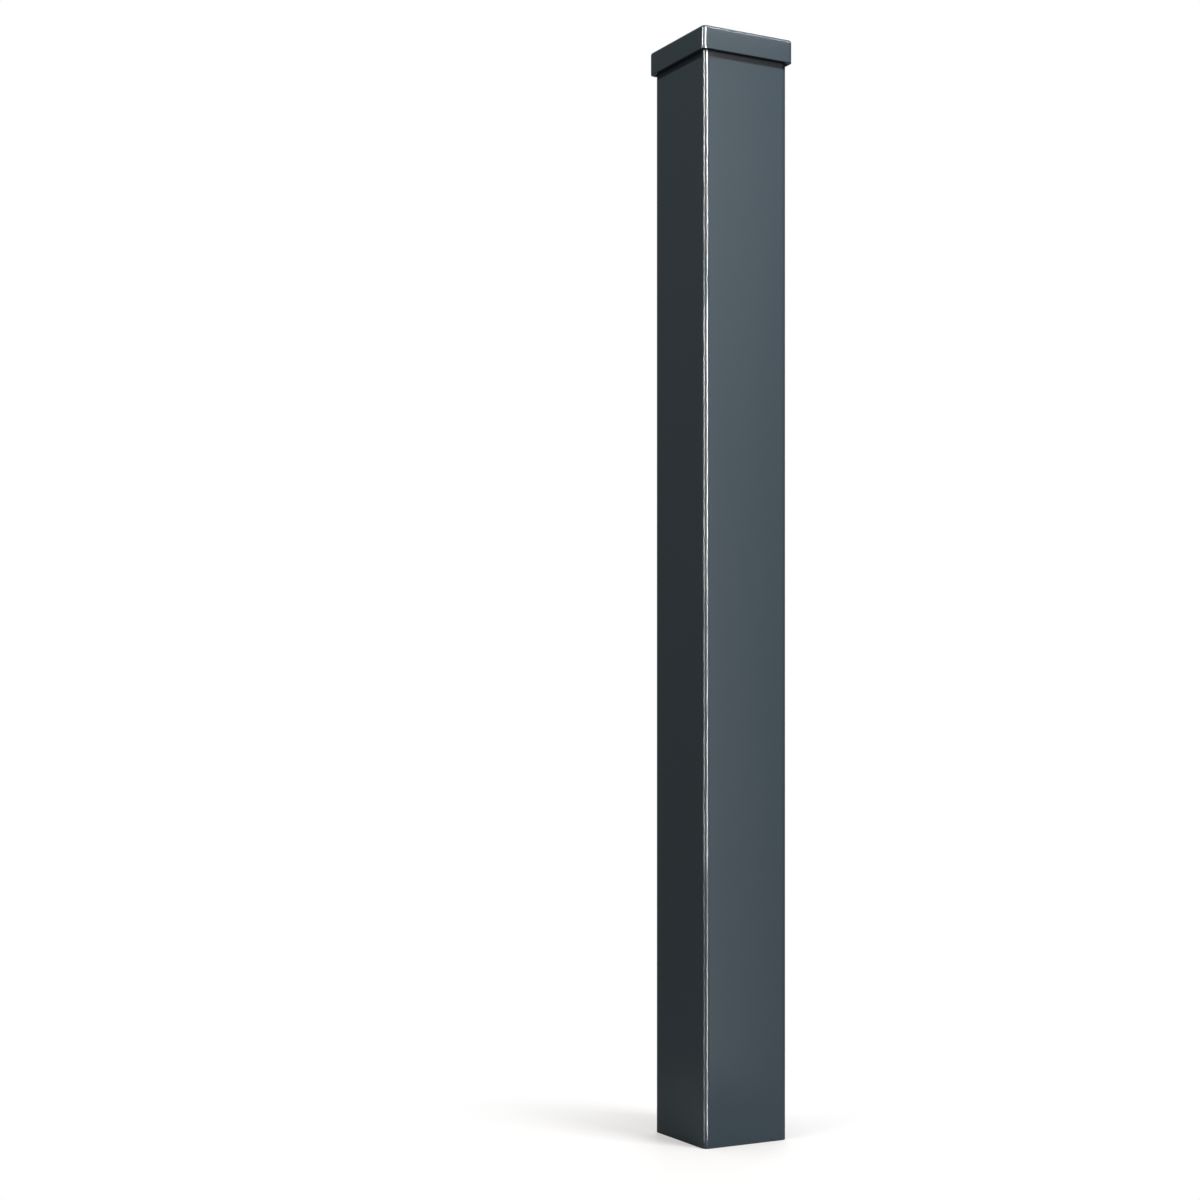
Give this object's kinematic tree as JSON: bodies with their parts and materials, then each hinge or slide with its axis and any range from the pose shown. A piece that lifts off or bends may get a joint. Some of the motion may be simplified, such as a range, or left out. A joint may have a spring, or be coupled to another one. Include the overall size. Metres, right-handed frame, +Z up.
{
  "type": "metal fence post",
  "caption": "Square hollow steel fence post in anthracite powder coat, open at the sawn foot and closed by a flat slip-over cap, for carrying fence panels, rails or a gate.",
  "frame": {"origin": "centre of the post's sawn foot, on the ground", "axes": "+Z up along the post; the four faces look along +X, -X, +Y and -Y, and the wide face in the picture is the -Y one"},
  "size_m": [0.1086, 0.1086, 1.134],
  "materials": {
    "tube_coat": "satin",
    "cap_coat": "satin"
  },
  "bodies": {
    "root": {"post_tube": "tube_coat", "post_cap": "cap_coat"}
  },
  "joints": []
}
